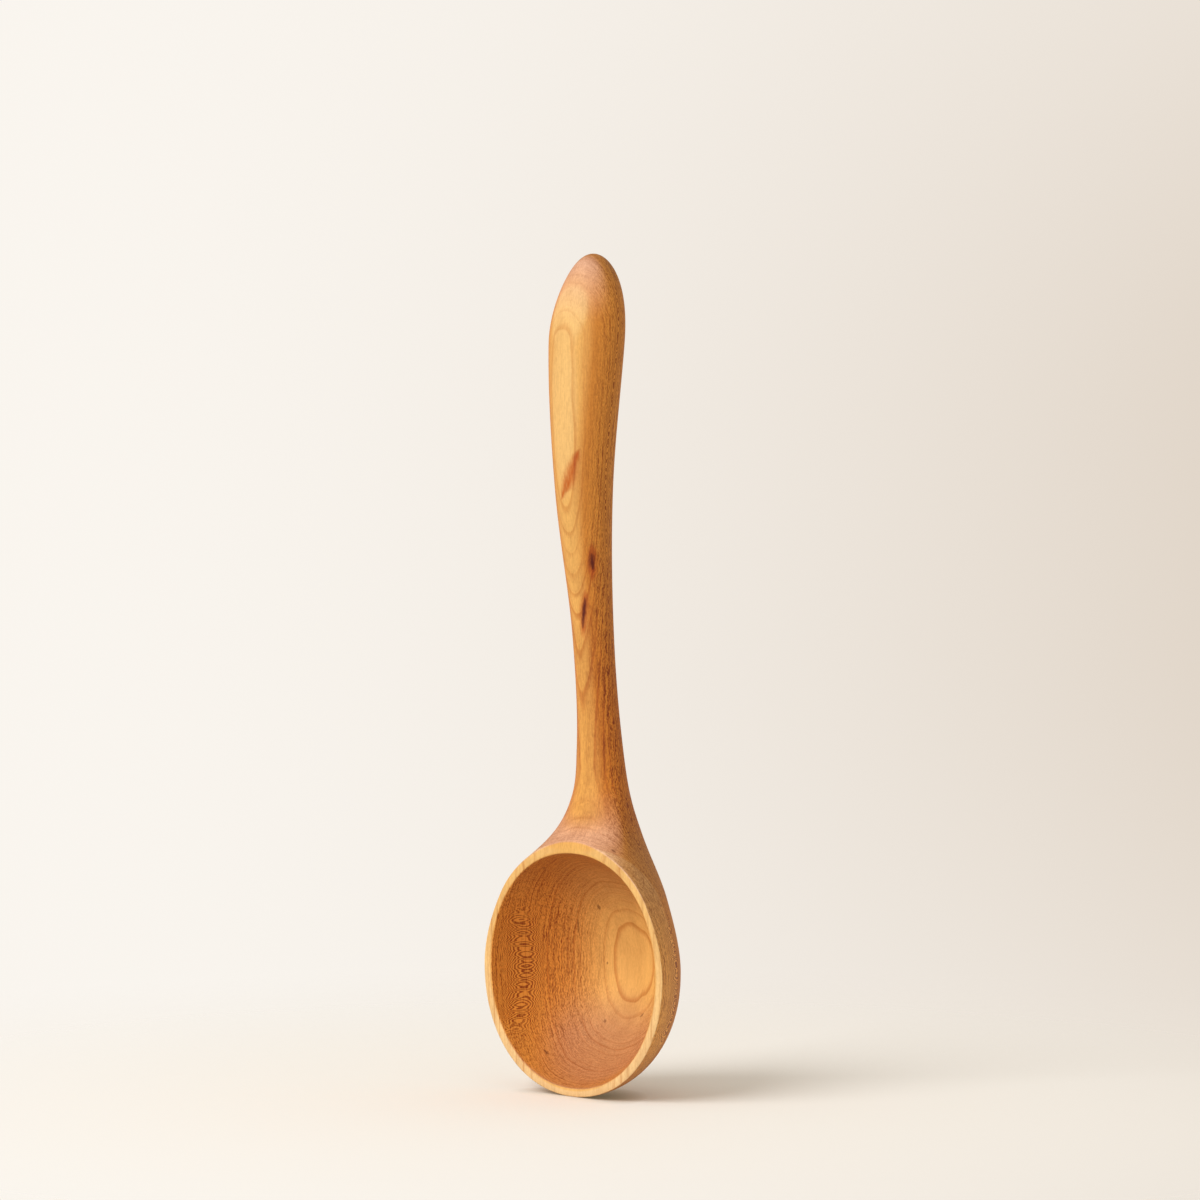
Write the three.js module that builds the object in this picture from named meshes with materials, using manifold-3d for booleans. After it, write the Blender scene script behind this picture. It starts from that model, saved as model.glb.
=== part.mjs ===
// Wooden ladle: a hollowed bowl with a flat rim, and a swelling handle that is glued into the bowl's
// neck by a round tenon.
// Millimetres. +Z runs up the handle, the mouth of the bowl faces -Y, and X is across the bowl.
// While it is shaped, the rim lies in the plane y = 0 and the tip of the bowl is at z = 0.

import * as THREE from 'three';
import { ParametricGeometry } from 'three/addons/geometries/ParametricGeometry.js';
import { mergeVertices } from 'three/addons/utils/BufferGeometryUtils.js';
import Module from 'manifold-3d';

// Bowl
const BOWL_WIDTH = 92; // across the rim, outside
const BOWL_DEPTH = 41; // from the rim plane to the back of the bowl
const WIDEST_HEIGHT = 47; // from the tip up to the widest level
const WALL_LEAN = 0.5; // the walls would stand square this share of the depth in front of the rim
const RIM_FULLNESS = 2.1; // 2 is an ellipse, more is fuller
const BACK_FULLNESS = 2.25;

// Hollow
const MOUTH_LENGTH = 88.2; // at the rim plane, along the ladle
const RIM_WIDTH = 4; // the flat band beside the mouth
const RIM_AT_TIP = 3.2; // the same band below the mouth
const BOWL_FLOOR = 5; // wood behind the deepest point

// Shoulder, where the bowl is drawn in to the neck
const SHOULDER_PLACE = 0.55; // share of the way from the widest level to the throat
const SHOULDER_FULLNESS = 0.62; // share of the way from the throat's width to the bowl's
const THROAT_HEIGHT = 97.5; // just above the top of the rim
const THROAT_WIDTH = 37.6;
const THROAT_FRONT = 1.5; // behind the rim plane, as its widest line and its back are
const THROAT_SIDE = 11.5;
const THROAT_BACK = 31;
const ROOT_RISE = 14.5; // root of the neck, above the throat
const ROOT_WIDTH = 24;
const ROOT_FRONT = 6.6;
const ROOT_SIDE = 16;
const ROOT_BACK = 27;

// Handle: each level has an oval section, set back from the rim plane to its middle
const JOINT_RISE = 18; // above the root
const JOINT_WIDTH = 18.8;
const JOINT_DEPTH = 16.2;
const JOINT_SETBACK = 15.8;
const NECK_RISE = 42; // the slimmest level, above the joint
const NECK_WIDTH = 15.8;
const NECK_DEPTH = 15.5;
const NECK_SETBACK = 12.2;
const MIDDLE_RISE = 56; // above the neck
const MIDDLE_WIDTH = 22.6;
const MIDDLE_DEPTH = 21;
const MIDDLE_SETBACK = 7;
const GRIP_RISE = 55; // the fullest level, above the middle
const GRIP_WIDTH = 31.5;
const GRIP_DEPTH = 25;
const GRIP_SETBACK = 8.4;
const END_RISE = 34; // the rounded end, above the grip
const END_SETBACK = 12;

// Glued joint
const TENON_DIAMETER = 9;
const TENON_LENGTH = 22;
const TENON_SINK = 4; // how far the tenon reaches up inside the handle's own wood
const GLUE_LINE = 0.2; // clearance round the tenon
const GLUE_POCKET = 1; // clearance below the tenon

// Finish
const BOWL_COLOUR = '#b97a45';
const HANDLE_COLOUR = '#cf9557';
const WOOD_ROUGHNESS = 0.5;

// Facets
const BOWL_COLUMNS = 64;
const HANDLE_COLUMNS = 32;
const ROUND_SIDES = 24;
const TIP_LEVELS = 12;
const END_LEVELS = 8;
const SHOULDER_LEVELS = 5; // between each two stations of the shoulder
const HANDLE_LEVELS = 7; // between each two stations of the handle
const HOLLOW_COLUMNS = 56;
const HOLLOW_RINGS = 28;
const MERGE_DISTANCE = 1e-4;

const wasm = await Module();
wasm.setup();

// A section is the ladle cut level: two half ovals that meet on its widest line. It has a height, half
// its width, and how far behind the rim plane its front, its widest line and its back lie.

// The wall of the bowl is part of an oval that is centred in front of the rim plane, so a level that
// measures rimHalf across at the rim belongs to a section a little wider than that.
const leanShare = WALL_LEAN / (1 + WALL_LEAN);
const crownFactor = 1 / Math.sqrt(1 - leanShare ** 2);

function bowlSection(height, rimHalf, back) {
  return {
    height,
    half: rimHalf * crownFactor,
    front: -(1 + WALL_LEAN) * back,
    side: -WALL_LEAN * back,
    back,
  };
}

function handleSection(height, width, depth, setback) {
  return { height, half: width / 2, front: setback - depth / 2, side: setback, back: setback + depth / 2 };
}

function mixSections(from, to, share) {
  const mix = {};
  for (const key of Object.keys(from)) {
    mix[key] = THREE.MathUtils.lerp(from[key], to[key], share);
  }
  return mix;
}

// Stations from the widest level up. The cubic through them is level at both ends.
const widest = bowlSection(WIDEST_HEIGHT, BOWL_WIDTH / 2, BOWL_DEPTH);
const throat = {
  height: THROAT_HEIGHT,
  half: THROAT_WIDTH / 2,
  front: THROAT_FRONT,
  side: THROAT_SIDE,
  back: THROAT_BACK,
};
const shoulder = mixSections(widest, throat, SHOULDER_PLACE);
shoulder.half = THREE.MathUtils.lerp(throat.half, widest.half, SHOULDER_FULLNESS);
const root = {
  height: THROAT_HEIGHT + ROOT_RISE,
  half: ROOT_WIDTH / 2,
  front: ROOT_FRONT,
  side: ROOT_SIDE,
  back: ROOT_BACK,
};
const jointHeight = root.height + JOINT_RISE;
const neckHeight = jointHeight + NECK_RISE;
const middleHeight = neckHeight + MIDDLE_RISE;
const gripHeight = middleHeight + GRIP_RISE;
const endHeight = gripHeight + END_RISE;
const joint = handleSection(jointHeight, JOINT_WIDTH, JOINT_DEPTH, JOINT_SETBACK);
const neck = handleSection(neckHeight, NECK_WIDTH, NECK_DEPTH, NECK_SETBACK);
const middle = handleSection(middleHeight, MIDDLE_WIDTH, MIDDLE_DEPTH, MIDDLE_SETBACK);
const grip = handleSection(gripHeight, GRIP_WIDTH, GRIP_DEPTH, GRIP_SETBACK);
const end = handleSection(endHeight, GRIP_WIDTH, GRIP_DEPTH, END_SETBACK);
const stations = [widest, shoulder, throat, root, joint, neck, middle, grip, end];

const measures = ['half', 'front', 'side', 'back'];
const profile = new THREE.CubicInterpolant(
  stations.map((station) => station.height),
  stations.flatMap((station) => measures.map((key) => station[key])),
  measures.length,
  new Float64Array(measures.length),
);
profile.settings = { endingStart: THREE.ZeroSlopeEnding, endingEnd: THREE.ZeroSlopeEnding };

function sectionAt(height) {
  const [half, front, side, back] = profile.evaluate(height);
  return { height, half, front, side, back };
}

// Levels between two heights, the first left out and the last kept.
function climb(from, to, count) {
  const step = (to - from) / count;
  return Array.from({ length: count }, (_, i) => sectionAt(from + step * (i + 1)));
}

// The lower half of the bowl, from the tip to the widest level.
function tipSections() {
  const sections = [];
  for (let i = 0; i <= TIP_LEVELS; i += 1) {
    const drop = Math.cos((Math.PI / 2) * (i / TIP_LEVELS));
    const rimShare = Math.max(0, 1 - drop ** RIM_FULLNESS) ** (1 / RIM_FULLNESS);
    const backShare = Math.max(0, 1 - drop ** BACK_FULLNESS) ** (1 / BACK_FULLNESS);
    const height = WIDEST_HEIGHT * (1 - drop);
    sections.push(bowlSection(height, (BOWL_WIDTH / 2) * rimShare, BOWL_DEPTH * backShare));
  }
  return sections;
}

// The rounded end of the handle, above the grip.
function endSections() {
  const sections = [];
  for (let i = 1; i <= END_LEVELS; i += 1) {
    const angle = (Math.PI / 2) * (i / END_LEVELS);
    const whole = sectionAt(gripHeight + END_RISE * Math.sin(angle));
    const point = { ...whole, half: 0, front: whole.side, back: whole.side };
    sections.push(mixSections(point, whole, Math.cos(angle)));
  }
  return sections;
}

// A closed skin round a stack of sections, drawn together to a point in the middle of each end.
function skin(sections, columns) {
  const first = sections[0];
  const last = sections[sections.length - 1];
  const middleOf = (section) => ({ ...section, half: 0, front: section.side, back: section.side });
  const rows = [middleOf(first), ...sections, middleOf(last)];
  const place = (u, v, target) => {
    const section = rows[Math.round(v * (rows.length - 1))];
    const turn = u * 2 * Math.PI;
    const depth = Math.sin(turn) >= 0 ? section.back - section.side : section.side - section.front;
    target.set(section.half * Math.cos(turn), section.side + depth * Math.sin(turn), section.height);
  };
  return new ParametricGeometry(place, columns, rows.length - 1);
}

// A closed mesh as a solid: shared corners are merged and triangles that shrank to a line are dropped.
function solidOf(geometry) {
  geometry.deleteAttribute('normal');
  geometry.deleteAttribute('uv');
  const merged = mergeVertices(geometry, MERGE_DISTANCE);
  const corners = merged.index.array;
  const kept = [];
  for (let i = 0; i < corners.length; i += 3) {
    const [a, b, c] = corners.slice(i, i + 3);
    if (a !== b && b !== c && c !== a) {
      kept.push(a, b, c);
    }
  }
  const mesh = new wasm.Mesh({
    numProp: 3,
    vertProperties: merged.attributes.position.array,
    triVerts: Uint32Array.from(kept),
  });
  return new wasm.Manifold(mesh);
}

function geometryOf(solid) {
  const mesh = solid.getMesh();
  const geometry = new THREE.BufferGeometry();
  geometry.setAttribute('position', new THREE.BufferAttribute(mesh.vertProperties, 3));
  geometry.setIndex(new THREE.BufferAttribute(mesh.triVerts, 1));
  geometry.computeVertexNormals();
  return geometry;
}

// A round peg on the tenon's axis, between two heights.
function peg(diameter, bottom, top) {
  const geometry = new THREE.CylinderGeometry(diameter / 2, diameter / 2, top - bottom, ROUND_SIDES);
  geometry.rotateX(Math.PI / 2);
  geometry.translate(0, JOINT_SETBACK, (bottom + top) / 2);
  return solidOf(geometry);
}

// What is sawn off in front of the rim plane.
function rimCut() {
  const reach = BOWL_WIDTH + BOWL_DEPTH;
  const tall = 2 * jointHeight;
  const geometry = new THREE.BoxGeometry(2 * reach, 2 * reach, 2 * tall);
  geometry.translate(0, -reach, 0);
  return solidOf(geometry);
}

// The hollow: part of an egg that is centred in front of the rim plane, as the walls are, and as full as
// the rim when it is seen from the front.
function hollow() {
  const depth = BOWL_DEPTH - BOWL_FLOOR;
  const half = (BOWL_WIDTH / 2 - RIM_WIDTH) * crownFactor;
  const halfLength = (MOUTH_LENGTH / 2) * crownFactor;
  const place = (u, v, target) => {
    const turn = u * 2 * Math.PI;
    const across = Math.cos(turn);
    const along = Math.sin(turn);
    const fullness = Math.abs(across) ** RIM_FULLNESS + Math.abs(along) ** RIM_FULLNESS;
    const reach = Math.sin(v * Math.PI) / fullness ** (1 / RIM_FULLNESS);
    const back = depth * (1 + WALL_LEAN) * Math.cos(v * Math.PI);
    target.set(half * reach * across, back, halfLength * reach * along);
  };
  const geometry = new ParametricGeometry(place, HOLLOW_COLUMNS, HOLLOW_RINGS);
  geometry.translate(0, -depth * WALL_LEAN, RIM_AT_TIP + MOUTH_LENGTH / 2);
  return solidOf(geometry);
}

function bowl() {
  const sections = [
    ...tipSections(),
    ...climb(widest.height, shoulder.height, SHOULDER_LEVELS),
    ...climb(shoulder.height, throat.height, SHOULDER_LEVELS),
    ...climb(throat.height, root.height, SHOULDER_LEVELS),
    ...climb(root.height, joint.height, SHOULDER_LEVELS),
  ];
  const socketFloor = jointHeight - TENON_LENGTH - GLUE_POCKET;
  const socket = peg(TENON_DIAMETER + 2 * GLUE_LINE, socketFloor, jointHeight + TENON_LENGTH);
  return solidOf(skin(sections, BOWL_COLUMNS)).subtract(rimCut()).subtract(hollow()).subtract(socket);
}

function handle() {
  const sections = [
    sectionAt(joint.height),
    ...climb(joint.height, neck.height, HANDLE_LEVELS),
    ...climb(neck.height, middle.height, HANDLE_LEVELS),
    ...climb(middle.height, grip.height, HANDLE_LEVELS),
    ...endSections(),
  ];
  const tenon = peg(TENON_DIAMETER, jointHeight - TENON_LENGTH, jointHeight + TENON_SINK);
  return solidOf(skin(sections, HANDLE_COLUMNS)).add(tenon);
}

function wood(color) {
  return new THREE.MeshStandardMaterial({ color, roughness: WOOD_ROUGHNESS, metalness: 0 });
}

function piece(name, solid, material) {
  const mesh = new THREE.Mesh(geometryOf(solid), material);
  mesh.name = name;
  return mesh;
}

const ladle = new THREE.Group();
ladle.add(piece('bowl', bowl(), wood(BOWL_COLOUR)));
ladle.add(piece('handle', handle(), wood(HANDLE_COLOUR)));

// The origin goes to the middle of the bottom of the ladle's own box.
const box = new THREE.Box3().setFromObject(ladle);
const centre = box.getCenter(new THREE.Vector3());
ladle.position.set(-centre.x, -centre.y, -box.min.z);
ladle.updateMatrixWorld(true);

export default ladle;
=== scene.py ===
# %% [markdown]
# # A carved wooden ladle
# The ladle is carved from pale fruitwood: a deep bowl with a flat rim, a shoulder that is drawn in to a
# slim neck, and a handle that swells to a rounded grip. It is oiled and has no paint or fittings, so
# its looks come from smooth carved curves and the way those curves cut the grain, with painted shade
# on faces that look down. The solids in the frame are faceted. They give the places and sizes, and
# this script makes the same two pieces again with fine surfaces, in a wood that is figured right
# through as a real blank is.

# %% Load the frame
import math
from collections import namedtuple

import bmesh
import bpy
from mathutils import Matrix, Vector


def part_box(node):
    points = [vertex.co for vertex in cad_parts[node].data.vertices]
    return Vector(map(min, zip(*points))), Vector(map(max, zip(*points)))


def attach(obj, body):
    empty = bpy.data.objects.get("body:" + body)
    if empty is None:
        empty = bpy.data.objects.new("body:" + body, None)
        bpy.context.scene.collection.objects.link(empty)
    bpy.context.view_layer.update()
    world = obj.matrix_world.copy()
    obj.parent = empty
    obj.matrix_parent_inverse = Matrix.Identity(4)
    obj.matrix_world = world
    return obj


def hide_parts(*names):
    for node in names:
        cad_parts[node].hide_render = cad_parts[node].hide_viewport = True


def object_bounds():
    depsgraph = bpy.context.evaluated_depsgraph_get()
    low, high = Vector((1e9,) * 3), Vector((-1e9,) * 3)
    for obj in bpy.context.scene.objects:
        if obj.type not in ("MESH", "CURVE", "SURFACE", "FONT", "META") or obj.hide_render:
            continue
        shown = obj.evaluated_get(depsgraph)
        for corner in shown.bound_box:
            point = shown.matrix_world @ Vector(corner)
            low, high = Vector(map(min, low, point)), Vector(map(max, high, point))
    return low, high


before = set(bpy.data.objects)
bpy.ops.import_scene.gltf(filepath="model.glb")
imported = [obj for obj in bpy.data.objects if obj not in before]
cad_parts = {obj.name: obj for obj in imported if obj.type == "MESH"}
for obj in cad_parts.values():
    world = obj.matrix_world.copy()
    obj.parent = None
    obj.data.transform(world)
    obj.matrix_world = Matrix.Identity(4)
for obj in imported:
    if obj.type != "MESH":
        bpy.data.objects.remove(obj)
cad_low, cad_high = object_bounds()
bowl_low, bowl_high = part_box("bowl")
_, handle_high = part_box("handle")

MM = 0.001
RIM_PLANE = bowl_low.y  # the mouth faces -Y, so the rim is the bowl's lowest Y
JOINT_HEIGHT = bowl_high.z
TOP_HEIGHT = handle_high.z
print("rim plane at y", round(RIM_PLANE / MM, 3), "mm, joint at z", round(JOINT_HEIGHT / MM, 3), "mm")

# %% [markdown]
# ## Camera
# The ladle stands upright and is seen a little less than half way round to its side, from almost its
# own height. A long lens from one and a half metres keeps its lines nearly parallel. The camera stands
# a centimetre to the right of the ladle, which puts the ladle left of the middle of the picture.

# %% Set up the camera
CAMERA_TURN = math.radians(43)  # round from the front, towards +X
CAMERA_TILT = math.radians(0.8)  # looking down
CAMERA_DISTANCE = 1.5  # metres
CAMERA_SIDESTEP = 0.0108  # metres to the right
CAMERA_AIM = Vector((0, RIM_PLANE, 0.1866))
LENS = 120  # millimetres
SENSOR = 36  # millimetres

to_right = Vector((math.cos(CAMERA_TURN), math.sin(CAMERA_TURN), 0))
level_ahead = Vector((-math.sin(CAMERA_TURN), math.cos(CAMERA_TURN), 0))
ahead = level_ahead * math.cos(CAMERA_TILT) - Vector((0, 0, math.sin(CAMERA_TILT)))

camera_data = bpy.data.cameras.new("camera")
camera_data.lens = LENS
camera_data.sensor_width = SENSOR
camera = bpy.data.objects.new("camera", camera_data)
camera.location = CAMERA_AIM - ahead * CAMERA_DISTANCE + to_right * CAMERA_SIDESTEP
camera.rotation_mode = "QUATERNION"
camera.rotation_quaternion = ahead.to_track_quat("-Z", "Y")
bpy.context.scene.collection.objects.link(camera)
bpy.context.scene.camera = camera
print("camera at", [round(x, 3) for x in camera.location])

# %% [markdown]
# ## Shader maths
# A procedural material is a sum written with nodes. One small class holds an output socket and turns
# Python's operators into Math nodes, so that a mask reads as a formula. Any other node comes from its
# `node` method.

# %% Wires
# The sockets of a Mix node that are for colours
MIX_FACTOR = 0
MIX_UNDER = 6
MIX_OVER = 7
MIX_RESULT = 2


class Wire:
    """An output socket of a node tree. Sums on it add Math nodes."""

    def __init__(self, tree, socket=None):
        self.tree = tree
        self.socket = socket

    def node(self, kind, settings, inputs, output=0):
        """Adds a node, sets it up, feeds its sockets and gives one output, or a list of several."""
        made = self.tree.nodes.new(kind)
        for name, value in settings.items():
            setattr(made, name, value)
        for name, value in inputs.items():
            if isinstance(value, Wire):
                self.tree.links.new(value.socket, made.inputs[name])
            else:
                made.inputs[name].default_value = value
        if isinstance(output, tuple):
            return [Wire(self.tree, made.outputs[name]) for name in output]
        return Wire(self.tree, made.outputs[output])

    def math(self, operation, *values):
        """Adds a Math node."""
        return self.node("ShaderNodeMath", {"operation": operation}, dict(enumerate(values)))

    def __add__(self, other):
        return self.math("ADD", self, other)

    def __radd__(self, other):
        return self.math("ADD", other, self)

    def __sub__(self, other):
        return self.math("SUBTRACT", self, other)

    def __rsub__(self, other):
        return self.math("SUBTRACT", other, self)

    def __mul__(self, other):
        return self.math("MULTIPLY", self, other)

    def __rmul__(self, other):
        return self.math("MULTIPLY", other, self)

    def __truediv__(self, other):
        return self.math("DIVIDE", self, other)

    def step(self, low, high):
        """Rises smoothly from 0 at low to 1 at high."""
        settings = {"interpolation_type": "SMOOTHSTEP"}
        return self.node("ShaderNodeMapRange", settings, {"Value": self, "From Min": low, "From Max": high})

    def blend(self, under, over, mode="MIX"):
        """Lays one colour over another, with this value as the factor."""
        settings = {"data_type": "RGBA", "blend_type": mode}
        inputs = {MIX_FACTOR: self, MIX_UNDER: under, MIX_OVER: over}
        return self.node("ShaderNodeMix", settings, inputs, MIX_RESULT)


def new_material(name):
    """An empty material, and a bare wire to start its nodes from."""
    material = bpy.data.materials.new(name)
    material.use_nodes = True
    material.node_tree.nodes.clear()
    return material, Wire(material.node_tree)


def seen_directly(wire):
    """1 for rays from the camera and for reflections, 0 for light that falls on things."""
    kinds = ("Is Camera Ray", "Is Glossy Ray", "Is Transmission Ray")
    camera_ray, glossy, through = wire.node("ShaderNodeLightPath", {}, {}, kinds)
    return wire.math("MAXIMUM", wire.math("MAXIMUM", camera_ray, glossy), through)


print("wires ready")

# %% [markdown]
# ## Floor and light
# The ladle is shown on a pale seamless floor. A flat disc takes the soft shadow and fades into the
# background within half a metre, so that no horizon shows from any side. Close beside the ladle it is
# darker and warmer, where hardly any light gets in. The background is a pale colour that only the
# camera and reflections see. The light that reaches the wood is set separately and stays at a plain
# level: one broad lamp from the front left, high up, and an even light from all round.

# %% Floor
FLOOR_COLOUR = (0.89, 0.88, 0.875, 1)
FLOOR_GLOW = (0.1, 0.08, 0.045, 1)  # what the camera sees besides the light that falls on the floor
UNSEEN = (0, 0, 0, 1)
FLOOR_CONTACT = (0.45, 0.36, 0.28, 1)  # where hardly any light gets in beside the ladle
CONTACT_REACH = 9 * MM
FLOOR_ROUGHNESS = 0.9
FLOOR_GLOSS = 0.1
FLOOR_SIDES = 96
FLOOR_RADIUS = 0.7  # metres
FLOOR_FADE = (0.02, 0.45)  # metres from the ladle


def floor_paint():
    """Dull pale paper that fades out of sight away from the ladle."""
    material, wire = new_material("pale_floor")
    place = wire.node("ShaderNodeTexCoord", {}, {}, "Object")
    far = wire.node("ShaderNodeVectorMath", {"operation": "LENGTH"}, {0: place}, "Value")
    light = wire.node("ShaderNodeAmbientOcclusion", {}, {"Distance": CONTACT_REACH}, "AO")
    paint = wire.node("ShaderNodeBsdfPrincipled", {}, {
        "Base Color": light.blend(FLOOR_CONTACT, FLOOR_COLOUR),
        "Roughness": FLOOR_ROUGHNESS,
        "Specular IOR Level": FLOOR_GLOSS,
        "Emission Color": seen_directly(wire).blend(UNSEEN, FLOOR_GLOW),
        "Emission Strength": 1,
    })
    clear = wire.node("ShaderNodeBsdfTransparent", {}, {})
    faded = far.step(*FLOOR_FADE) * seen_directly(wire)
    surface = wire.node("ShaderNodeMixShader", {}, {0: faded, 1: paint, 2: clear})
    wire.node("ShaderNodeOutputMaterial", {}, {"Surface": surface}, ())
    return material


def new_piece(name, bm, material):
    """Turns a bmesh into an object at the origin."""
    mesh = bpy.data.meshes.new(name)
    bm.to_mesh(mesh)
    bm.free()
    mesh.materials.append(material)
    piece = bpy.data.objects.new(name, mesh)
    bpy.context.scene.collection.objects.link(piece)
    return piece


floor_bm = bmesh.new()
bmesh.ops.create_circle(floor_bm, cap_ends=True, segments=FLOOR_SIDES, radius=FLOOR_RADIUS)
floor = new_piece("floor", floor_bm, floor_paint())
print("floor", FLOOR_RADIUS * 2, "m across")

# %% Light
PALE = (0.955, 0.915, 0.86, 1)
PALE_SHADE = (0.65, 0.545, 0.44, 1)
SHADE_REACH = (-0.15, 0.35)  # how far to the side the background darkens
SHADE_FADE = (0.02, 0.2)  # how far up and down it pales again
SHADE_LOSS = 0.45  # the share that is lost there
AMBIENT = 0.53
AMBIENT_COLOUR = (1.0, 0.935, 0.84, 1)
KEY_TURN = math.radians(-10)  # round from the ladle's own front, so well to the left of the camera
KEY_RISE = math.radians(36)
KEY_DISTANCE = 3.2  # metres
KEY_SIZE = 2.3  # metres across
KEY_POWER = 79  # watts
KEY_COLOUR = (1.0, 0.98, 0.94)
LADLE_MIDDLE = (cad_low + cad_high) / 2

world = bpy.data.worlds.new("studio")
bpy.context.scene.world = world
world.use_nodes = True
world.node_tree.nodes.clear()
sky = Wire(world.node_tree)
soft = sky.node("ShaderNodeBackground", {}, {"Color": AMBIENT_COLOUR, "Strength": AMBIENT})
direction = sky.node("ShaderNodeTexCoord", {}, {}, "Generated")
dot = {"operation": "DOT_PRODUCT"}
sideways = sky.node("ShaderNodeVectorMath", dot, {0: direction, 1: to_right}, "Value")
level = sky.math("ABSOLUTE", sky.node("ShaderNodeSeparateXYZ", {}, {0: direction}, 2))
shade = sideways.step(*SHADE_REACH) * (1 - level.step(*SHADE_FADE) * SHADE_LOSS)
pale = shade.blend(PALE, PALE_SHADE)
paper = sky.node("ShaderNodeBackground", {}, {"Color": pale, "Strength": 1})
both = sky.node("ShaderNodeMixShader", {}, {0: seen_directly(sky), 1: soft, 2: paper})
sky.node("ShaderNodeOutputWorld", {}, {"Surface": both}, ())

key_from = Vector((
    math.sin(KEY_TURN) * math.cos(KEY_RISE),
    -math.cos(KEY_TURN) * math.cos(KEY_RISE),
    math.sin(KEY_RISE),
))
key_data = bpy.data.lights.new("key", "AREA")
key_data.shape = "DISK"
key_data.size = KEY_SIZE
key_data.energy = KEY_POWER
key_data.color = KEY_COLOUR
key = bpy.data.objects.new("key", key_data)
key.location = LADLE_MIDDLE + key_from * KEY_DISTANCE
key.rotation_mode = "QUATERNION"
key.rotation_quaternion = (-key_from).to_track_quat("-Z", "Y")
bpy.context.scene.collection.objects.link(key)
bpy.context.scene.view_settings.view_transform = "Standard"
print("key lamp at", [round(x, 2) for x in key.location])

# %% [markdown]
# ## Level sections
# A carver checks a ladle by looking along it, section by section. Each level section here is two half
# ovals, front and back, that meet on the section's widest line. A few sections are measured and named,
# and a smooth cubic through them gives every section between. Heights run up from the tip, and depths
# run back from the rim plane.

# %% Measured sections
BOWL_WIDTH = 92 * MM
BOWL_DEPTH = bowl_high.y - RIM_PLANE
WIDEST_HEIGHT = 47 * MM
WALL_LEAN = 0.5  # the walls would stand square this share of the depth in front of the rim
RIM_FULLNESS = 2.1  # 2 is an oval, more is fuller
BACK_FULLNESS = 2.25
SHOULDER_PLACE = 0.55  # share of the way from the widest level to the throat
SHOULDER_FULLNESS = 0.62  # share of the way from the throat's width to the bowl's

Section = namedtuple("Section", "height half front side back")  # in metres
lean_share = WALL_LEAN / (1 + WALL_LEAN)
crown = 1 / math.sqrt(1 - lean_share**2)


def bowl_section(height, rim_half, back):
    """A section of the bowl, from its half width at the rim plane and its depth."""
    return Section(height, rim_half * crown, -(1 + WALL_LEAN) * back, -WALL_LEAN * back, back)


def handle_section(height, width, depth, setback):
    """An oval section of the handle, set back from the rim plane to its middle."""
    return Section(height, width / 2, setback - depth / 2, setback, setback + depth / 2)


def mix(a, b, share):
    """What lies a share of the way from one value to another."""
    return a + share * (b - a)


widest = bowl_section(WIDEST_HEIGHT, BOWL_WIDTH / 2, BOWL_DEPTH)
throat = Section(height=97.5 * MM, half=18.8 * MM, front=1.5 * MM, side=11.5 * MM, back=31 * MM)
shoulder = Section(*(mix(a, b, SHOULDER_PLACE) for a, b in zip(widest, throat)))
shoulder = shoulder._replace(half=mix(throat.half, widest.half, SHOULDER_FULLNESS))
root = Section(height=112 * MM, half=12 * MM, front=6.6 * MM, side=16 * MM, back=27 * MM)
joint = handle_section(JOINT_HEIGHT, width=18.8 * MM, depth=16.2 * MM, setback=15.8 * MM)
neck = handle_section(172 * MM, width=15.8 * MM, depth=15.5 * MM, setback=12.2 * MM)
middle = handle_section(228 * MM, width=22.6 * MM, depth=21 * MM, setback=7 * MM)
grip = handle_section(283 * MM, width=31.5 * MM, depth=25 * MM, setback=8.4 * MM)
end = handle_section(TOP_HEIGHT, width=31.5 * MM, depth=25 * MM, setback=12 * MM)
STATIONS = (widest, shoulder, throat, root, joint, neck, middle, grip, end)
print(len(STATIONS), "stations from", round(widest.height / MM, 1), "to", round(end.height / MM, 1), "mm")

# %% Sections between
def slope_at(index, key):
    """How fast a measure changes at a station: the mean of the two slopes beside it, level at the ends."""
    if index in (0, len(STATIONS) - 1):
        return 0
    before, here, after = STATIONS[index - 1:index + 2]
    rise_in = (here[key] - before[key]) / (here.height - before.height)
    rise_out = (after[key] - here[key]) / (after.height - here.height)
    return (rise_in + rise_out) / 2


def section_at(height):
    """The section at a height between the widest level and the top of the handle."""
    index = max(i for i, s in enumerate(STATIONS[:-1]) if i == 0 or s.height <= height)
    low, high = STATIONS[index], STATIONS[index + 1]
    span = high.height - low.height
    t = (height - low.height) / span
    values = [height]
    for key in range(1, len(low)):
        leave, arrive = slope_at(index, key) * span, slope_at(index + 1, key) * span
        bend = (2 * t**3 - 3 * t**2 + 1) * low[key] + (3 * t**2 - 2 * t**3) * high[key]
        values.append(bend + (t**3 - 2 * t**2 + t) * leave + (t**3 - t**2) * arrive)
    return Section(*values)


def climb(low, high, count):
    """Sections above one height, up to and with another."""
    return [section_at(mix(low, high, (i + 1) / count)) for i in range(count)]


def sink(count):
    """Sections below the widest level, down to just above the tip."""
    sections = []
    for i in range(1, count):
        drop = math.sin(math.pi / 2 * i / count)
        rim_share = (1 - drop**RIM_FULLNESS) ** (1 / RIM_FULLNESS)
        back_share = (1 - drop**BACK_FULLNESS) ** (1 / BACK_FULLNESS)
        height = WIDEST_HEIGHT * (1 - drop)
        sections.append(bowl_section(height, BOWL_WIDTH / 2 * rim_share, BOWL_DEPTH * back_share))
    return sections


def dome(count):
    """Sections of the rounded end above the grip, up to just below the top."""
    sections = []
    for i in range(1, count):
        angle = math.pi / 2 * i / count
        whole = section_at(mix(grip.height, end.height, math.sin(angle)))
        point = Section(whole.height, 0, whole.side, whole.side, whole.side)
        sections.append(Section(*(mix(p, w, math.cos(angle)) for p, w in zip(point, whole))))
    return sections


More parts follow.
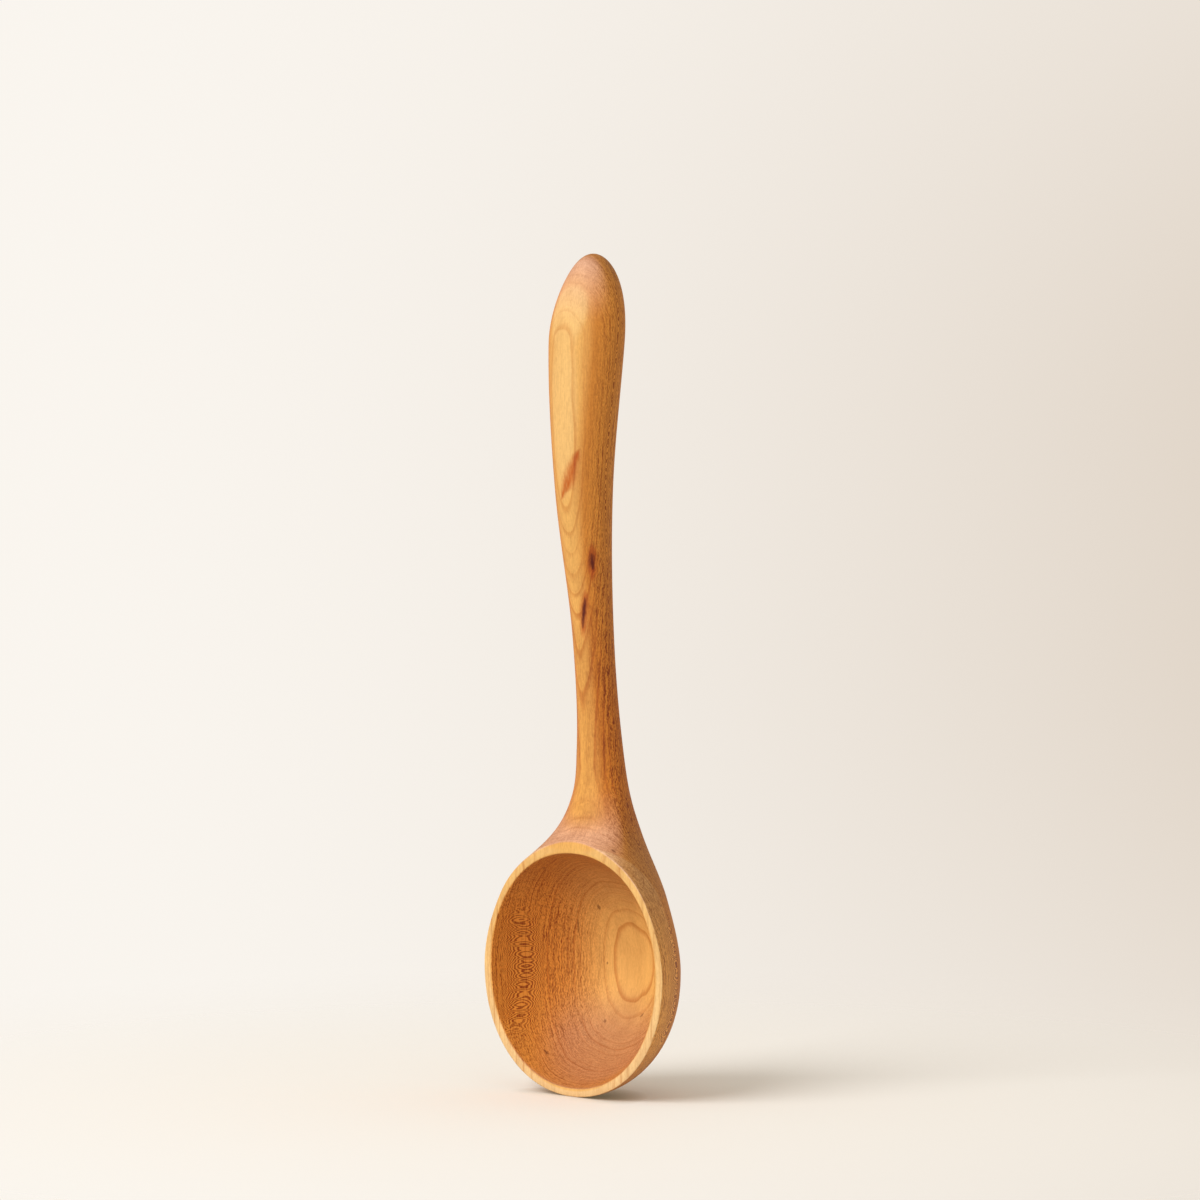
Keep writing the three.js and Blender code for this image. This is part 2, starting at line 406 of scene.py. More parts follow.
print("neck section", [round(x / MM, 2) for x in section_at(neck.height)])

# %% [markdown]
# ## Ring by ring
# The skin starts as a circle. It is stretched to a section, then its edges are extruded and the new
# ring is scaled and moved to the next section, over and over. Scaling the front and back halves by
# themselves is all that the half ovals need. The columns start half a step round, so that one column
# follows the rim.

# %% Rings
COLUMNS = 120


def place(section):
    """The middle of a section's widest line, in the frame."""
    return Vector((0, RIM_PLANE + section.side, section.height))


def stretch(bm, ring, old, new):
    """Moves a ring of vertices from one section to another."""
    line = RIM_PLANE + old.side
    fore = [v for v in ring if v.co.y < line]
    aft = [v for v in ring if v.co.y >= line]
    about = Matrix.Translation(-place(old))
    across = new.half / old.half
    fore_depth = (new.side - new.front) / (old.side - old.front)
    aft_depth = (new.back - new.side) / (old.back - old.side)
    bmesh.ops.scale(bm, vec=(across, fore_depth, 1), space=about, verts=fore)
    bmesh.ops.scale(bm, vec=(across, aft_depth, 1), space=about, verts=aft)
    bmesh.ops.translate(bm, vec=place(new) - place(old), verts=ring)


def edges_of(verts):
    """The edges that meet at some vertices, each once and always in the same order."""
    return list(dict.fromkeys(edge for vert in verts for edge in vert.link_edges))


def first_ring(bm, section):
    """A circle of columns, stretched to a section."""
    unit = Section(0, 1, -1, 0, 1)
    turned = Matrix.Translation(place(unit)) @ Matrix.Rotation(math.pi / COLUMNS, 4, "Z")
    ring = bmesh.ops.create_circle(bm, segments=COLUMNS, radius=1, matrix=turned)["verts"]
    stretch(bm, ring, unit, section)
    return edges_of(ring)


def extrude_ring(bm, edges):
    """Extrudes a ring of edges in place, and gives the new ring's edges and vertices."""
    made = bmesh.ops.extrude_edge_only(bm, edges=edges)["geom"]
    ring = [g for g in made if isinstance(g, bmesh.types.BMVert)]
    new = set(ring)
    return [g for g in made if isinstance(g, bmesh.types.BMEdge) and set(g.verts) <= new], ring


def loft(bm, edges, start, sections):
    """Carries a ring of edges through a list of sections."""
    old = start
    for section in sections:
        edges, ring = extrude_ring(bm, edges)
        stretch(bm, ring, old, section)
        old = section
    return edges


def close_point(bm, edges, point):
    """Draws a ring together to a point."""
    _, ring = extrude_ring(bm, edges)
    bmesh.ops.pointmerge(bm, verts=ring, merge_co=point)


print("rings have", COLUMNS, "columns")

# %% [markdown]
# ## Bowl
# The bowl's skin is lofted from its widest level down to the tip and up to the joint with the handle. A
# real bowl is sawn flat across its mouth, so the skin is bisected at the rim plane. A few more cuts
# just behind the rim give the edge some vertices to be eased with, as sandpaper would. The flat rim is
# filled in between that edge and an oval for the mouth, and the oval is extruded inwards ring by ring
# to make the hollow.

# %% Outside of the bowl
SHOULDER_LEVELS = 54
TIP_LEVELS = 32
EDGE_EASE = 0.45 * MM  # how far back the rim's outer edge is eased
EDGE_CUTS = (1, 0.65, 0.35, 0.12)  # shares of that
SNAP = 0.05 * MM
NEAR_RIM = 2 * SNAP  # vertices this close are drawn into the rim plane
SHORTEST_EDGE = 0.35 * MM
MOUTH_LENGTH = 88.2 * MM
RIM_AT_TIP = 3.2 * MM
MOUTH_MIDDLE = Vector((0, RIM_PLANE, RIM_AT_TIP + MOUTH_LENGTH / 2))
about_mouth = Matrix.Translation(-MOUTH_MIDDLE)


def all_of(bm):
    """All that a cut may go through."""
    return bm.verts[:] + bm.edges[:] + bm.faces[:]


def behind_rim(vert):
    """How far a vertex lies behind the rim plane."""
    return vert.co.y - RIM_PLANE


def round_mouth(vert):
    """How far round the mouth a vertex lies, as an angle."""
    return math.atan2(vert.co.z - MOUTH_MIDDLE.z, vert.co.x)


def pull(depth, ease):
    """How far an eased edge is drawn in, at a depth behind the flat face."""
    left = max(0, 1 - depth / ease)
    return ease * (1 - math.sqrt(1 - left**2))


def cut_mouth(bm):
    """Saws the skin flat at the rim plane and eases the edge. Gives the edges of the mouth."""
    for share in EDGE_CUTS:
        plane = (0, RIM_PLANE + share * EDGE_EASE, 0)
        bmesh.ops.bisect_plane(bm, geom=all_of(bm), dist=SNAP, plane_co=plane, plane_no=(0, 1, 0))
    plane = (0, RIM_PLANE, 0)
    bmesh.ops.bisect_plane(
        bm, geom=all_of(bm), dist=SNAP, plane_co=plane, plane_no=(0, 1, 0), clear_inner=True
    )
    edge = sorted((v for v in bm.verts if behind_rim(v) < NEAR_RIM), key=round_mouth)
    bmesh.ops.scale(bm, vec=(1, 0, 1), space=Matrix.Translation((0, -RIM_PLANE, 0)), verts=edge)
    bmesh.ops.remove_doubles(bm, verts=edge, dist=SHORTEST_EDGE)
    for vert in [v for v in bm.verts if behind_rim(v) < EDGE_EASE]:
        shrink = 1 - pull(behind_rim(vert), EDGE_EASE) / (BOWL_WIDTH / 2)
        bmesh.ops.scale(bm, vec=(shrink, 1, shrink), space=about_mouth, verts=[vert])
    return [e for e in bm.edges if e.is_boundary and all(behind_rim(v) < SNAP for v in e.verts)]


bowl_bm = bmesh.new()
girth = first_ring(bowl_bm, widest)
joint_edges = loft(bowl_bm, girth, widest, climb(widest.height, joint.height, SHOULDER_LEVELS))
tip_edges = loft(bowl_bm, girth, widest, sink(TIP_LEVELS))
close_point(bowl_bm, tip_edges, Vector((0, RIM_PLANE, 0)))
mouth_edges = cut_mouth(bowl_bm)
print("mouth has", len(mouth_edges), "edges, skin", len(bowl_bm.faces), "faces")

# %% Rim and hollow
RIM_WIDTH = 4 * MM
INNER_EASE = 0.5 * MM
BOWL_FLOOR = 5 * MM
MOUTH_COLUMNS = 160
HOLLOW_RINGS = 30
HOLLOW_DEPTH = BOWL_DEPTH - BOWL_FLOOR


def mouth_ring(bm):
    """The inner edge of the flat rim: a circle, made as full as the rim and stretched to the mouth."""
    upright = Matrix.Translation(MOUTH_MIDDLE) @ Matrix.Rotation(math.pi / 2, 4, "X")
    ring = bmesh.ops.create_circle(bm, segments=MOUTH_COLUMNS, radius=1, matrix=upright)["verts"]
    for vert in ring:
        across, _, along = vert.co - MOUTH_MIDDLE
        fullness = abs(across) ** RIM_FULLNESS + abs(along) ** RIM_FULLNESS
        grow = fullness ** (-1 / RIM_FULLNESS)
        bmesh.ops.scale(bm, vec=(grow, 1, grow), space=about_mouth, verts=[vert])
    half = BOWL_WIDTH / 2 - RIM_WIDTH + INNER_EASE
    half_length = MOUTH_LENGTH / 2 + INNER_EASE
    bmesh.ops.scale(bm, vec=(half, 1, half_length), space=about_mouth, verts=ring)
    return edges_of(ring)


def hollow_share(depth):
    """How wide the hollow still is at a depth, as a share of its mouth. It is part of an egg."""
    reach = HOLLOW_DEPTH * (1 + WALL_LEAN)
    here = (depth + HOLLOW_DEPTH * WALL_LEAN) / reach
    narrowing = math.sqrt(1 - here**2) * crown
    eased = 1 - (INNER_EASE - pull(depth, INNER_EASE)) / (BOWL_WIDTH / 2)
    return narrowing * eased


def hollow_depths():
    """Close steps round the inner edge, then even turns down the wall."""
    depths = [INNER_EASE * share for share in reversed(EDGE_CUTS)]
    start = math.asin(lean_share)
    for i in range(1, HOLLOW_RINGS):
        angle = mix(start, math.pi / 2, i / HOLLOW_RINGS)
        depths.append(HOLLOW_DEPTH * ((1 + WALL_LEAN) * math.sin(angle) - WALL_LEAN))
    return depths


def hollow_out(bm, edges):
    """Makes the flat rim between the sawn edge and the mouth, and sinks the hollow behind it."""
    inner = mouth_ring(bm)
    bmesh.ops.triangle_fill(bm, use_beauty=True, edges=edges + inner, normal=(0, -1, 0))
    width, depth = 1, 0
    for new_depth in hollow_depths():
        inner, ring = extrude_ring(bm, inner)
        ratio = hollow_share(new_depth) / width
        bmesh.ops.scale(bm, vec=(ratio, 1, ratio), space=about_mouth, verts=ring)
        bmesh.ops.translate(bm, vec=(0, new_depth - depth, 0), verts=ring)
        width, depth = width * ratio, new_depth
    close_point(bm, inner, MOUTH_MIDDLE + Vector((0, HOLLOW_DEPTH, 0)))


hollow_out(bowl_bm, mouth_edges)
print("with its hollow the bowl has", len(bowl_bm.faces), "faces")

# %% [markdown]
# ## Handle
# The handle goes on from the bowl's last ring: a slim neck, a swelling middle and grip, and a rounded
# end that closes to a point. A round tenon below it is glued into a socket in the bowl. Both are
# hidden, but the pieces are whole, as they would be on the bench.

# %% Handle and joint
HANDLE_LEVELS = 62
END_LEVELS = 24
ROUND_SIDES = 60
TENON_RADIUS = 4.5 * MM
TENON_LENGTH = 22 * MM
GLUE_LINE = 0.2 * MM
GLUE_POCKET = 1 * MM
CREASE = math.radians(50)


def peg_or_socket(bm, ring, radius, length):
    """A round peg or socket that runs down from the joint, inside a ring of edges."""
    top = Matrix.Translation(place(joint))
    made = bmesh.ops.create_circle(bm, segments=ROUND_SIDES, radius=radius, matrix=top)
    circle = edges_of(made["verts"])
    bmesh.ops.bridge_loops(bm, edges=ring + circle)
    foot, verts = extrude_ring(bm, circle)
    bmesh.ops.translate(bm, vec=(0, 0, -length), verts=verts)
    bmesh.ops.edgeloop_fill(bm, edges=foot)


def smooth_off(bm):
    """Turns all faces outwards and shades them smooth, with creases where the joint is square."""
    bmesh.ops.recalc_face_normals(bm, faces=bm.faces)
    for face in bm.faces:
        face.smooth = True
    for edge in bm.edges:
        edge.smooth = edge.calc_face_angle(0) < CREASE


peg_or_socket(bowl_bm, joint_edges, TENON_RADIUS + GLUE_LINE, TENON_LENGTH + GLUE_POCKET)
smooth_off(bowl_bm)

handle_bm = bmesh.new()
base = first_ring(handle_bm, joint)
grip_edges = loft(handle_bm, base, joint, climb(joint.height, grip.height, HANDLE_LEVELS))
end_edges = loft(handle_bm, grip_edges, grip, dome(END_LEVELS))
close_point(handle_bm, end_edges, place(end))
peg_or_socket(handle_bm, base, TENON_RADIUS, TENON_LENGTH)
smooth_off(handle_bm)
print("bowl", len(bowl_bm.faces), "faces, handle", len(handle_bm.faces), "faces")

# %% [markdown]
# ## Wood
# Wood is layers of growth round a pith, with fibres along the stem and thin ribbons of ray cells
# running out from the pith. A picture of grain glued on a carved form never looks right, because every
# curve cuts those layers differently. So this wood is solid: each point is given its distance from the
# pith, its place round the pith and its height, and every figure is a formula of those three. Contour
# rings then appear by themselves where the hollow touches the layers, and ray fleck where a wall runs
# along the rays. The pith of this blank lay behind the bowl, which the place of the rings and the fleck
# gives away.

# %% Grain
PITH_DEPTH = 80  # millimetres behind the rim plane
ROUND_RADIUS = 70  # millimetres from the pith, where a turn round it is measured as a length
FULL_TURN = 2 * math.pi
MIDDLE = 0.5  # of noise, and of a wave between 0 and 1

Blotch = namedtuple("Blotch", "across around along detail shift")  # the first three in millimetres


class Grain:
    """A point's place in the blank, in millimetres, and how the surface lies to the grain there."""

    def __init__(self, wire):
        self.wire = wire
        place, normal = wire.node("ShaderNodeTexCoord", {}, {}, ("Object", "Normal"))
        self.place = self.scaled(self.vector("SUBTRACT", place, Vector((0, RIM_PLANE, 0))), 1 / MM)
        x, depth, self.along = wire.node("ShaderNodeSeparateXYZ", {}, {0: self.place}, (0, 1, 2))
        face_x, face_y, self.upward = wire.node("ShaderNodeSeparateXYZ", {}, {0: normal}, (0, 1, 2))
        ahead_of_pith = PITH_DEPTH - depth
        self.radius = wire.math("SQRT", x * x + ahead_of_pith * ahead_of_pith)
        self.around = wire.math("ARCTAN2", x, ahead_of_pith) * ROUND_RADIUS
        self.outward = (face_x * x - face_y * ahead_of_pith) / self.radius
        self.flat = wire.math("ABSOLUTE", self.outward)  # 1 where the surface lies along the layers

    def vector(self, operation, *values, output=0):
        settings = {"operation": operation}
        return self.wire.node("ShaderNodeVectorMath", settings, dict(enumerate(values)), output)

    def scaled(self, vector, scale):
        return self.wire.node("ShaderNodeVectorMath", {"operation": "SCALE"}, {0: vector, "Scale": scale})

    def noise(self, blotch, stray=0):
        """Noise with blotches of a size across the layers, round them and along the fibres."""
        vector = self.wire.node("ShaderNodeCombineXYZ", {}, {
            0: (self.radius + stray) / blotch.across + blotch.shift,
            1: self.around / blotch.around,
            2: self.along / blotch.along,
        })
        inputs = {"Vector": vector, "Scale": 1, "Detail": blotch.detail}
        return self.wire.node("ShaderNodeTexNoise", {}, inputs)


print("pith", PITH_DEPTH, "mm behind the rim")

# %% Growth rings
RING_START = 47  # millimetres from the pith
RING_COUNT = 0.357  # rings for each millimetre there
RING_CROWDING = 0.0051  # rings crowd together further out
RING_CYCLE = 5  # about every so many rings one is strong
RING_SHIFT = 1  # and this tells which one
LATE_RISE = (0.6, 0.92)  # shares of the way through a ring
LATE_FALL = (0.92, 1)
WAVES = (  # how far layers stray from true rings, in millimetres, and over what lengths
    (3.0, Blotch(40, 26, 80, 1, 0)),
    (1.6, Blotch(15, 14, 40, 1, 2)),
    (0.7, Blotch(9, 7, 20, 1, 7)),
)
FAINT_RING = 0.25  # what a faint ring has of a strong one's line
RING_PATCHES = Blotch(20, 16, 50, 1, 13)
PATCH_EDGE = (0.2, 0.5)
FIRST_RING = (-2, -1)  # no ring shows further in than this
RING_END = (0.15, 0.55)  # from here on a face counts as end grain
RING_END_LOSS = 0.7  # the share of a ring's line that end grain loses
TOP_FROM = (236, 262)  # millimetres above the tip
TOP_RING_LOSS = 0.4  # the share that the rings lose up there
NECK_FROM = (88, 106)  # millimetres above the tip
NECK_TO = (140, 230)
FAINT_NECK_RING = 1  # in the neck no ring is faint
NECK_RINGS_FROM = (112, 130)  # millimetres above the tip


def across_ends(grain, edge, loss):
    """1 along the fibres, and less on end grain, where lines of every kind are faint."""
    return 1 - grain.wire.math("ABSOLUTE", grain.upward).step(*edge) * loss


def in_neck(grain):
    """1 in the neck, where the blank is darkest, and 0 in the bowl and the grip."""
    return grain.along.step(*NECK_FROM) * (1 - grain.along.step(*NECK_TO))


def waves(grain):
    """How far the layers stray from true rings here, in millimetres."""
    return sum((grain.noise(blotch) - MIDDLE) * reach for reach, blotch in WAVES)


def late_wood(grain, radius, outside):
    """The dark line that ends each ring: a slow rise and a quick fall, stronger in some rings."""
    out = radius - RING_START
    rings = out * (RING_COUNT + RING_CROWDING * out)
    through = grain.wire.math("FRACT", rings)
    number = grain.wire.math("FLOOR", rings)
    turn = (number + RING_SHIFT) * (FULL_TURN / RING_CYCLE)
    strength = grain.wire.math("COSINE", turn) * MIDDLE + MIDDLE
    patches = grain.noise(RING_PATCHES).step(*PATCH_EDGE)
    line = through.step(*LATE_RISE) * (1 - through.step(*LATE_FALL)) * number.step(*FIRST_RING)
    faintest = mix(FAINT_RING, FAINT_NECK_RING, in_neck(grain) * grain.along.step(*NECK_RINGS_FROM))
    shown = mix(faintest, 1, strength * strength * patches)
    shown = shown * (1 - grain.along.step(*TOP_FROM) * TOP_RING_LOSS)
    return line * shown * across_ends(grain, RING_END, outside * RING_END_LOSS)


print("rings", round(1 / RING_COUNT, 2), "mm apart near the bottom of the hollow")

# %% Fibres and rays
# Each figure darkens the wood by more or less than its usual share, so that it adds contrast and no tint.
Figure = namedtuple("Figure", "blotch edge usual on_layers on_rays")
FIGURES = {
    "pores": Figure(Blotch(0.4, 0.4, 5, 1, 5), (0.42, 0.62), 0.4, 0.09, 0.4),
    "dashes": Figure(Blotch(0.36, 1.2, 0.9, 0, 29), (0.38, 0.62), 0.5, 0.03, 0.44),
    "ray ends": Figure(Blotch(9, 0.5, 2.4, 0, 19), (0.44, 0.66), 0.3, 0.05, 0.1),
    "streaks": Figure(Blotch(2.6, 7, 60, 1, 37), (0.35, 0.65), 0.5, 0.1, 0.1),
    "veins": Figure(Blotch(1.3, 1.3, 30, 1, 53), (0.52, 0.74), 0.2, 0.07, 0.24),
}
Lines = namedtuple("Lines", "spacing strength patches")
LAYER_LINES = (
    Lines(2.1, 0.45, Blotch(3, 6, 14, 0, 41)),
    Lines(0.95, 0.55, Blotch(2, 5, 8, 0, 43)),
    Lines(0.56, 0.5, Blotch(1.5, 4, 5, 0, 47)),
)
LINE_PATCH = (0.35, 0.65)
WIGGLE = Blotch(6, 6, 2.2, 0, 17)
WIGGLE_REACH = 0.9  # millimetres
OVAL_WAVER = Blotch(25, 25, 2.5, 1, 3)
OVAL_NESTING = (9, 3.5)  # in the bowl and in the handle
OVAL_LINE = (0.2, 0.8)
FLECK_FINENESS = (280, 150)  # in the bowl and in the handle
FLECK_EDGES = ((0.06, 0.21), (0.08, 0.24))  # in the one and in the other, where it fades
FLECK_SHIFT = (0.03, 0.2)  # how far from the true rays it lies, in the bowl and in the grip
FLECK_SHIFT_FROM = (190, 240)  # millimetres above the tip
FLECK_TURN = (74, 106)  # millimetres above the tip, from the bowl to the handle
FLECK_LOW = (14, 30)  # it fades towards both ends of the hollow
FLECK_HIGH = (60, 74)
FLECK_STRENGTH = (1.2, 0.8)  # in the bowl and in the handle
RAYS_EDGE = (0.15, 1)  # from a face along the rays to one along the layers
UNDER_FLECK = 0.45  # the share of the other figures that is left beside the ovals
FIGURE_END = (0.4, 0.9)  # from here on a face counts as end grain
FIGURE_END_LOSS = 0.4  # the share of the figures that end grain loses
NECK_FIGURES = 1.9  # how much stronger they are in the neck


def fleck_ovals(grain):
    """The chain of nested ovals where a wall runs along the rays, and how near it is."""
    above = grain.along.step(*FLECK_TURN)
    slant = grain.outward - mix(*FLECK_SHIFT, grain.along.step(*FLECK_SHIFT_FROM))
    edges = (mix(a, b, above) for a, b in zip(*FLECK_EDGES))
    near = 1 - grain.wire.math("ABSOLUTE", slant).step(*edges)
    waver = (grain.noise(OVAL_WAVER) - MIDDLE) * mix(*OVAL_NESTING, above)
    turns = slant * slant * mix(*FLECK_FINENESS, above) + waver
    wave = grain.wire.math("SINE", turns * FULL_TURN) * MIDDLE + MIDDLE
    near = near * (grain.along.step(*FLECK_LOW) * (1 - grain.along.step(*FLECK_HIGH)) + above)
    return (wave.step(*OVAL_LINE) - MIDDLE) * near * mix(*FLECK_STRENGTH, above), near


def layer_lines(grain, wiggle):
    """Wavy lines between the rings, broken into patches."""
    total = 0
    for lines in LAYER_LINES:
        turn = (grain.radius + wiggle) * (FULL_TURN / lines.spacing)
        wave = grain.wire.math("SINE", turn) * MIDDLE
        total = total + wave * grain.noise(lines.patches).step(*LINE_PATCH) * lines.strength
    return total


def figures(grain, stray):
    """All the fine figures together, each by how the surface lies to the grain."""
    wiggle = stray + (grain.noise(WIGGLE) - MIDDLE) * WIGGLE_REACH
    fleck, near = fleck_ovals(grain)
    rays = 1 - grain.flat.step(*RAYS_EDGE)
    total = layer_lines(grain, wiggle) * rays
    for figure in FIGURES.values():
        shown = grain.noise(figure.blotch, wiggle).step(*figure.edge) - figure.usual
        total = total + shown * mix(figure.on_layers, figure.on_rays, rays)
    total = total * mix(1, UNDER_FLECK, near) * mix(1, NECK_FIGURES, in_neck(grain))
    return (total + fleck) * across_ends(grain, FIGURE_END, FIGURE_END_LOSS)


print(len(FIGURES), "figures and the fleck")

# %% Marks
Mark = namedtuple("Mark", "start end radius")  # in millimetres across, behind the rim plane and up
PITH_FLECKS = (
    Mark((-12.3, 27.9, 71.3), (-11.5, 28.1, 66.2), 0.85),
    Mark((-21.1, 26, 64.3), (-22.1, 27.4, 57.5), 0.55),
    Mark((-12.8, 33.7, 47.3), (-12.8, 33.7, 46.3), 0.5),
    Mark((-9.6, 28.4, 26.2), (-8.8, 28.6, 24.2), 0.7),
    Mark((7.1, 30.6, 27.7), (8.7, 30.8, 29.7), 0.7),
    Mark((-23.6, 9.6, 14.8), (-21.2, 9.8, 13.2), 0.7),
    Mark((17.8, 3, 93.8), (19.8, 3.2, 92.6), 0.7),
    Mark((-19.6, 5.7, 85.4), (-19.6, 5.7, 83.8), 0.6),
)
GUM_POCKETS = (
    Mark((7.2, 3.4, 204.6), (7.6, 3.8, 197.6), 1.6),
    Mark((3.9, 3.5, 188), (2, 3.9, 175.5), 1.2),
)
AMBER_STREAKS = (
    Mark((6.9, -3, 243), (-2, -3.3, 224.5), 2),
    Mark((5.4, -3.2, 239), (0.6, -3.7, 227), 2.2),
    Mark((7.2, 3.4, 209), (7.7, 4, 192), 1.7),
    Mark((4.2, 3.5, 191), (1.8, 3.8, 171), 1.6),
)
MARK_EDGE = (-0.1, 1.3)  # shares of a mark's radius
AMBER_EDGE = (-0.4, 2)  # amber fades into the wood
MARK_ENDS = 0.2  # how much of the radius is left at the two ends
RAGGED = Blotch(0.6, 0.6, 2.5, 1, 23)


def distance_to(grain, mark):
    """How far a point is from the line through a mark, as a share of the mark's radius there."""
    start = Vector(mark.start)
    run = Vector(mark.end) - start
    reach = grain.vector("SUBTRACT", grain.place, start)
    share = grain.vector("DOT_PRODUCT", reach, run / run.length_squared, output="Value")
    share = grain.wire.node("ShaderNodeClamp", {}, {0: share})
    away = grain.vector("DISTANCE", reach, grain.scaled(run, share), output="Value")
    bulge = share * (1 - share) / (MIDDLE * MIDDLE)  # 1 half way along
    return away / (mix(MARK_ENDS, 1, bulge) * mark.radius)


def marks(grain, places, edge):
    """1 on any of the marks, with a ragged edge."""
    ragged = grain.noise(RAGGED) - MIDDLE
    found = 0
    for mark in places:
        here = 1 - (distance_to(grain, mark) + ragged).step(*edge)
        found = grain.wire.math("MAXIMUM", here, found)
    return found


print(len(PITH_FLECKS), "pith flecks,", len(GUM_POCKETS), "gum pockets")

# %% Oiled wood
SAPWOOD = (0.925, 0.58, 0.205, 1)
TIP_SAPWOOD = (0.97, 0.665, 0.315, 1)  # it is palest round the tip
TIP_HEIGHT = (8, 80)  # millimetres above the tip
HEARTWOOD = (0.935, 0.545, 0.156, 1)
RAY_FACE = (0.735, 0.287, 0.04, 1)  # a face along the rays
PALE_RAY_FACE = (0.86, 0.406, 0.093, 1)  # the same in sapwood
END_GRAIN = (0.95, 0.615, 0.445, 1)  # a face across the fibres
UPTURNED_RAY_FACE_TONE = (0.7, 0.74, 1, 1)  # darker, on faces across fibres and rays that look up
WORN_END_GRAIN = (0.53, 0.232, 0.128, 1)  # the same in the hollow
# painted shade on faces that look down, such as the top of the hollow under the rim
UNDERSIDE_PAINTED_SHADE = (0.72, 0.66, 0.74, 1)
NECK_TONE = (0.87, 0.73, 0.56, 1)  # the blank is darkest in the neck
HEART_EDGE = 76  # millimetres from the pith, beside the bowl
HEART_SPREAD = 7.7  # further out, in the handle
SPREAD_FROM = (77, 105)  # millimetres above the tip
EDGE_STRAY = 0.3
EDGE_WIDTH = (-0.6, 0.6)
SLANT_OUTSIDE = (0.8, 1.02)  # where a face stops counting as one along the rays
SLANT_IN_SAPWOOD = (0.4, 0.86)
SLANT_IN_HOLLOW = (0.25, 1)
END_FROM = (0.15, 0.65)
END_FLAT = (0.4, 0.95)
END_SHARE = 0.85
WORN_END_SHARE = 0.65
WORN_END_FLAT = (0.1, 0.5)
# how far down a face must look to take the painted shade
DOWNWARD_SHADE_RANGE = (0.3, 0.9)
SAP_RETURN = 5  # the sapwood is this much thicker again at the top
RETURN_HEIGHT = (280, 305)
DARKENING = (0.36, 0.18, 0.06, 1)  # what fine figures do to any of the colours
USUAL_DARKNESS = 0.3
TONE = Blotch(22, 16, 130, 1, 11)
TONE_STRENGTH = 0.2
LATE_TINT = (0.78, 0.6, 0.46, 1)  # what the strongest rings do to any of the colours
AMBER = (0.64, 0.22, 0, 1)
GUM = (0.2, 0.065, 0.02, 1)
FLECK_MARK_STRENGTH = 0.75
ROUGHNESS = 0.62
GLOSS = 0.3
RELIEF = 0.05 * MM
BUMP = 0.3
HOLLOW_EDGE = (1.01, 1.03)  # just outside the egg that the hollow is part of


def outside_hollow(grain):
    """0 on the wall of the hollow, where the wood takes none of the sapwood's paleness, and 1 elsewhere."""
    middle = Vector((0, -HOLLOW_DEPTH * WALL_LEAN, MOUTH_MIDDLE.z)) / MM
    half = Vector((
        (BOWL_WIDTH / 2 - RIM_WIDTH) * crown,
        HOLLOW_DEPTH * (1 + WALL_LEAN),
        MOUTH_LENGTH / 2 * crown,
    )) / MM
    within = grain.vector("DIVIDE", grain.vector("SUBTRACT", grain.place, middle), half)
    return grain.vector("LENGTH", within, output="Value").step(*HOLLOW_EDGE)


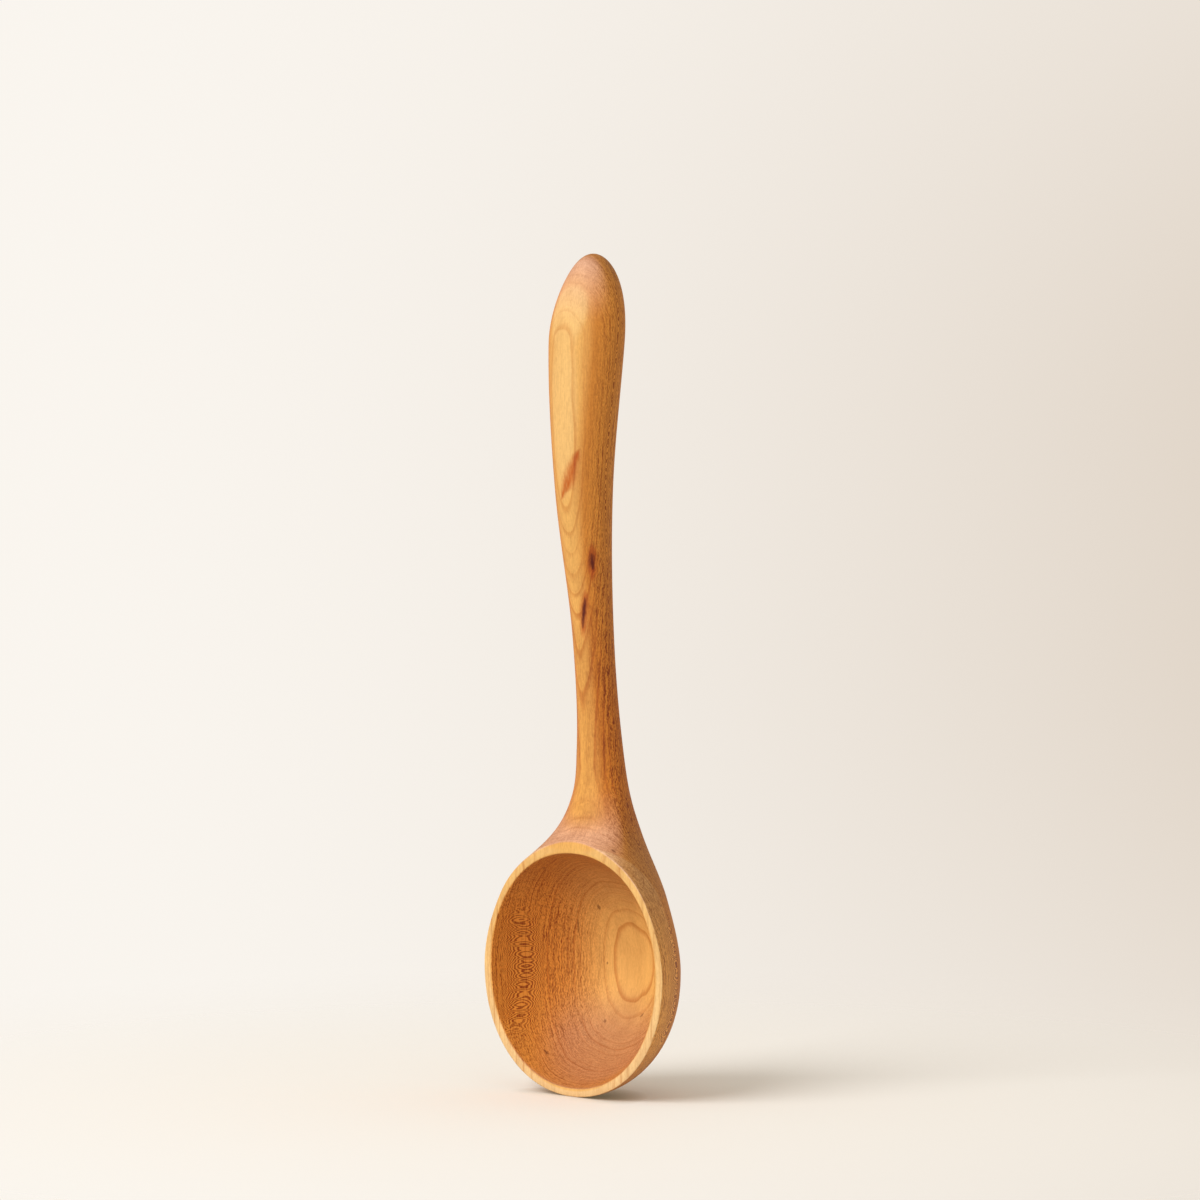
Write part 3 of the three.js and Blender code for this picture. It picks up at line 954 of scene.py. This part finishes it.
def plain_colour(grain, stray, outside):
    """The colour of the wood before any figure, by layer and by how the surface lies to the grain, with
    painted shade where a face looks down.
    """
    heart_edge = HEART_EDGE + HEART_SPREAD * grain.along.step(*SPREAD_FROM)
    heart_edge = heart_edge - SAP_RETURN * grain.along.step(*RETURN_HEIGHT)
    pale = (grain.radius + stray * EDGE_STRAY - heart_edge).step(*EDGE_WIDTH) * outside
    low, high = (mix(a, b, outside) for a, b in zip(SLANT_IN_HOLLOW, SLANT_OUTSIDE))
    slanting = 1 - grain.flat.step(low, high)
    heart = slanting.blend(HEARTWOOD, RAY_FACE)
    sap = grain.along.step(*TIP_HEIGHT).blend(TIP_SAPWOOD, SAPWOOD)
    sap = grain.flat.step(*SLANT_IN_SAPWOOD).blend(PALE_RAY_FACE, sap)
    colour = pale.blend(heart, sap)
    end = grain.upward.step(*END_FROM)
    across = grain.flat.step(*END_FLAT)
    colour = (end * across * END_SHARE * outside).blend(colour, END_GRAIN)
    colour = (end * (1 - across) * outside).blend(colour, UPTURNED_RAY_FACE_TONE, "MULTIPLY")
    worn = end * grain.flat.step(*WORN_END_FLAT) * WORN_END_SHARE * (1 - outside)
    colour = worn.blend(colour, WORN_END_GRAIN)
    # painted shade: faces that look down are darkened as if they were in shadow
    colour = (0 - grain.upward).step(*DOWNWARD_SHADE_RANGE).blend(colour, UNDERSIDE_PAINTED_SHADE, "MULTIPLY")
    return in_neck(grain).blend(colour, NECK_TONE, "MULTIPLY")


def oiled_wood(name):
    """The wood of both pieces, as it would be in one blank."""
    material, wire = new_material(name)
    grain = Grain(wire)
    stray = waves(grain)
    outside = outside_hollow(grain)
    colour = plain_colour(grain, stray, outside)
    tone = (grain.noise(TONE) - MIDDLE) * TONE_STRENGTH
    dark = USUAL_DARKNESS + tone + figures(grain, stray)
    colour = dark.blend(colour, DARKENING, "MULTIPLY")
    late = late_wood(grain, grain.radius + stray, outside)
    colour = late.blend(colour, LATE_TINT, "MULTIPLY")
    colour = marks(grain, AMBER_STREAKS, AMBER_EDGE).blend(colour, AMBER, "MULTIPLY")
    pith_flecks = marks(grain, PITH_FLECKS, MARK_EDGE) * FLECK_MARK_STRENGTH
    gum = wire.math("MAXIMUM", pith_flecks, marks(grain, GUM_POCKETS, MARK_EDGE))
    colour = gum.blend(colour, GUM, "MULTIPLY")
    height = (dark + gum) * -1
    finish = wire.node("ShaderNodeBsdfPrincipled", {}, {
        "Base Color": colour,
        "Roughness": ROUGHNESS,
        "Specular IOR Level": GLOSS,
        "Normal": wire.node("ShaderNodeBump", {}, {"Strength": BUMP, "Distance": RELIEF, "Height": height}),
    })
    wire.node("ShaderNodeOutputMaterial", {}, {"Surface": finish}, ())
    return material


wood = oiled_wood("oiled_wood")
print("wood has", len(wood.node_tree.nodes), "nodes")

# %% [markdown]
# ## Put together
# Each piece takes the place of its plain solid. Nothing on a ladle moves, so both ride on the one body.

# %% Pieces
bowl = new_piece("carved_bowl", bowl_bm, wood)
handle = new_piece("carved_handle", handle_bm, wood)
for piece, node in ((bowl, "bowl"), (handle, "handle")):
    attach(piece, "root")
    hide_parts(node)
